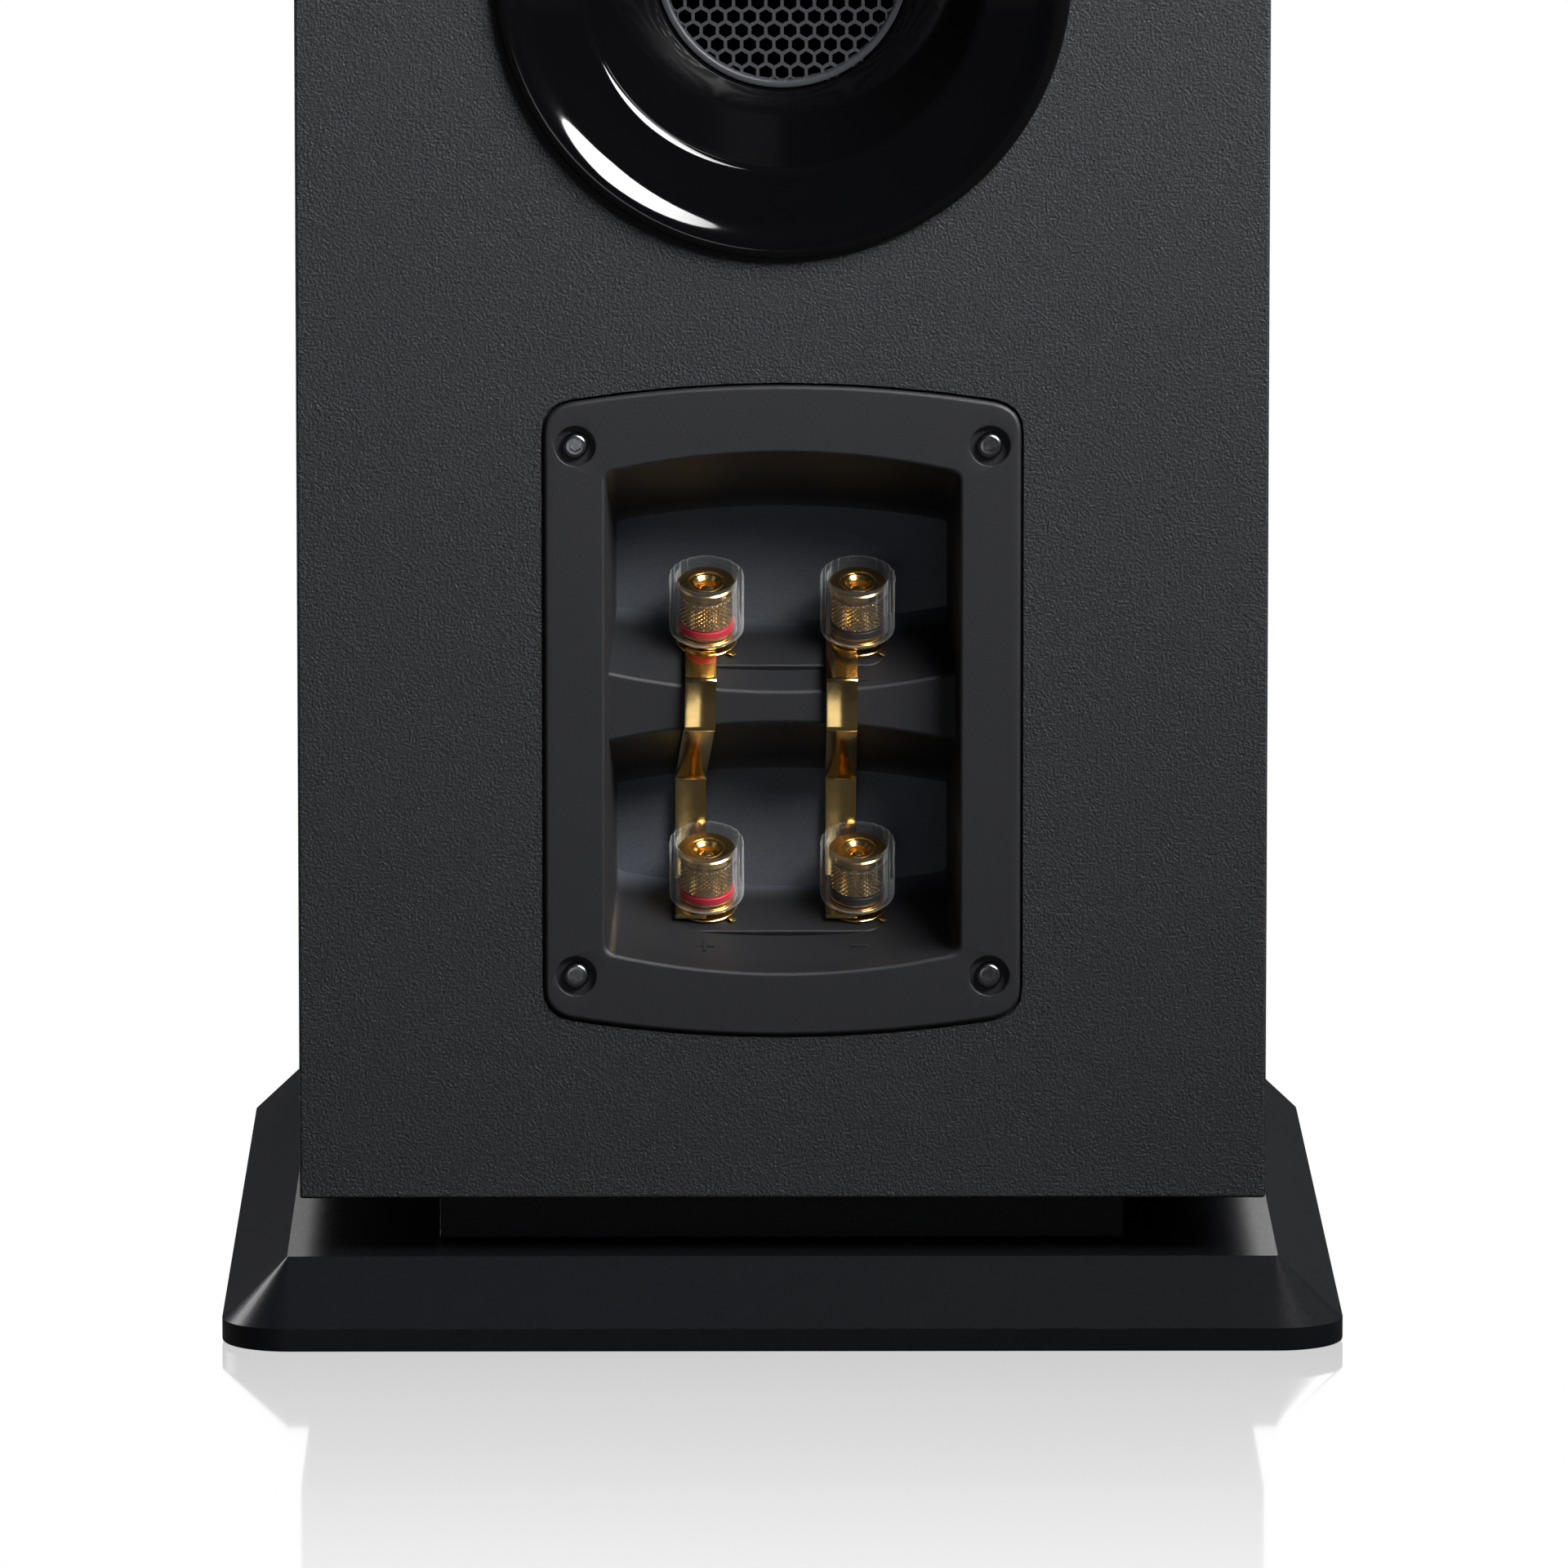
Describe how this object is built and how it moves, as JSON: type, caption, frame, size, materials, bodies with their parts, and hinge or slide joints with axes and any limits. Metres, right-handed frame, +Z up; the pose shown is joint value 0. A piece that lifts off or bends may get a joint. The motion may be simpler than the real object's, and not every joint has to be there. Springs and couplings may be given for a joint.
{
  "type": "floor-standing loudspeaker",
  "caption": "Tall black loudspeaker on a bevelled plinth, with a rear reflex port, a recessed terminal cup with gold binding posts and jumper straps, and drivers in front.",
  "frame": {"origin": "on the floor, under the middle of the plinth", "axes": "+Z up, +Y towards the rear panel, -Y towards the drivers, +X to the left for someone looking at the rear panel"},
  "size_m": [0.251, 0.2992, 1.0726],
  "materials": {
    "textured_vinyl": "fine-grained black vinyl wrap on fibreboard",
    "fibreboard": "raw medium-density fibreboard",
    "plinth_lacquer": "semi-gloss black lacquer",
    "rubber": "matt black rubber",
    "gloss_black": "high-gloss black moulding",
    "screen": "dark grey hexagonal mesh",
    "moulded_plastic": "satin black moulded plastic",
    "black_steel": "blackened steel",
    "gold_plate": "polished gold plate",
    "clear_acrylic": "clear polished acrylic",
    "red_ring": "red plastic",
    "black_ring": "black plastic",
    "cone": "black coated paper",
    "magnet": "plain ferrite and zinc-plated steel",
    "circuit_board": "green circuit board with dipped parts",
    "wool": "white polyester wool"
  },
  "bodies": {
    "cabinet": {"rear_panel": "textured_vinyl", "front_baffle": "textured_vinyl", "side_panel_left": "textured_vinyl", "side_panel_right": "textured_vinyl", "top_panel": "textured_vinyl", "bottom_panel": "textured_vinyl", "inner_brace": "fibreboard", "plinth": "plinth_lacquer", "plinth_spacer": "textured_vinyl", "foot_rear_left": "rubber", "foot_rear_right": "rubber", "foot_front_left": "rubber", "foot_front_right": "rubber", "port_flare": "gloss_black", "port_tube": "gloss_black", "port_screen": "screen", "terminal_cup": "moulded_plastic", "cup_screw_upper_left": "black_steel", "cup_screw_upper_right": "black_steel", "cup_screw_lower_left": "black_steel", "cup_screw_lower_right": "black_steel", "post_stud_upper_left": "gold_plate", "post_stud_upper_right": "gold_plate", "post_stud_lower_left": "gold_plate", "post_stud_lower_right": "gold_plate", "jumper_strap_left": "gold_plate", "jumper_strap_right": "gold_plate", "tweeter_faceplate": "moulded_plastic", "tweeter_motor": "magnet", "midrange_basket": "moulded_plastic", "midrange_surround": "rubber", "midrange_motor": "magnet", "upper_woofer_basket": "moulded_plastic", "upper_woofer_surround": "rubber", "upper_woofer_motor": "magnet", "lower_woofer_basket": "moulded_plastic", "lower_woofer_surround": "rubber", "lower_woofer_motor": "magnet", "crossover_board": "circuit_board", "damping_wool": "wool"},
    "washer_upper_left": {"clamp_washer_upper_left": "gold_plate"},
    "knob_upper_left": {"knob_core_upper_left": "gold_plate", "knob_sleeve_upper_left": "clear_acrylic", "colour_ring_upper_left": "red_ring"},
    "washer_upper_right": {"clamp_washer_upper_right": "gold_plate"},
    "knob_upper_right": {"knob_core_upper_right": "gold_plate", "knob_sleeve_upper_right": "clear_acrylic", "colour_ring_upper_right": "black_ring"},
    "washer_lower_left": {"clamp_washer_lower_left": "gold_plate"},
    "knob_lower_left": {"knob_core_lower_left": "gold_plate", "knob_sleeve_lower_left": "clear_acrylic", "colour_ring_lower_left": "red_ring"},
    "washer_lower_right": {"clamp_washer_lower_right": "gold_plate"},
    "knob_lower_right": {"knob_core_lower_right": "gold_plate", "knob_sleeve_lower_right": "clear_acrylic", "colour_ring_lower_right": "black_ring"},
    "midrange_moving": {"midrange_cone": "cone"},
    "upper_woofer_moving": {"upper_woofer_cone": "cone"},
    "lower_woofer_moving": {"lower_woofer_cone": "cone"},
    "tweeter_moving": {"tweeter_dome": "cone"}
  },
  "joints": [
    {"name": "post_travel_upper_left", "type": "slide", "parent": "cabinet", "child": "washer_upper_left", "axis": [0, 0.4226, 0.9063], "range_m": [0, 0.0045]},
    {"name": "knob_turn_upper_left", "type": "hinge", "parent": "washer_upper_left", "child": "knob_upper_left", "pos_m": [0.0169, 0.1098, 0.1547], "axis": [0, 0.4226, 0.9063], "range_deg": [0, 2160]},
    {"name": "post_travel_upper_right", "type": "slide", "parent": "cabinet", "child": "washer_upper_right", "axis": [0, 0.4226, 0.9063], "range_m": [0, 0.0045]},
    {"name": "knob_turn_upper_right", "type": "hinge", "parent": "washer_upper_right", "child": "knob_upper_right", "pos_m": [-0.0169, 0.1098, 0.1547], "axis": [0, 0.4226, 0.9063], "range_deg": [0, 2160]},
    {"name": "post_travel_lower_left", "type": "slide", "parent": "cabinet", "child": "washer_lower_left", "axis": [0, 0.4226, 0.9063], "range_m": [0, 0.0045]},
    {"name": "knob_turn_lower_left", "type": "hinge", "parent": "washer_lower_left", "child": "knob_lower_left", "pos_m": [0.0169, 0.1098, 0.0945], "axis": [0, 0.4226, 0.9063], "range_deg": [0, 2160]},
    {"name": "post_travel_lower_right", "type": "slide", "parent": "cabinet", "child": "washer_lower_right", "axis": [0, 0.4226, 0.9063], "range_m": [0, 0.0045]},
    {"name": "knob_turn_lower_right", "type": "hinge", "parent": "washer_lower_right", "child": "knob_lower_right", "pos_m": [-0.0169, 0.1098, 0.0945], "axis": [0, 0.4226, 0.9063], "range_deg": [0, 2160]},
    {"name": "midrange_travel", "type": "slide", "parent": "cabinet", "child": "midrange_moving", "axis": [0, -1, 0], "range_m": [-0.002, 0.002], "stiffness_N_per_m": 1800, "deforming": ["midrange_surround"]},
    {"name": "upper_woofer_travel", "type": "slide", "parent": "cabinet", "child": "upper_woofer_moving", "axis": [0, -1, 0], "range_m": [-0.005, 0.005], "stiffness_N_per_m": 1300, "deforming": ["upper_woofer_surround"]},
    {"name": "lower_woofer_travel", "type": "slide", "parent": "cabinet", "child": "lower_woofer_moving", "axis": [0, -1, 0], "range_m": [-0.005, 0.005], "stiffness_N_per_m": 1300, "deforming": ["lower_woofer_surround"]},
    {"name": "tweeter_travel", "type": "slide", "parent": "cabinet", "child": "tweeter_moving", "axis": [0, -1, 0], "range_m": [-0.0003, 0.0003], "stiffness_N_per_m": 2500}
  ],
  "couplings": [
    {"joint": "post_travel_upper_left", "follows": "knob_turn_upper_left", "m_per_rad": 0.00011937},
    {"joint": "post_travel_upper_right", "follows": "knob_turn_upper_right", "m_per_rad": 0.00011937},
    {"joint": "post_travel_lower_left", "follows": "knob_turn_lower_left", "m_per_rad": 0.00011937},
    {"joint": "post_travel_lower_right", "follows": "knob_turn_lower_right", "m_per_rad": 0.00011937}
  ]
}
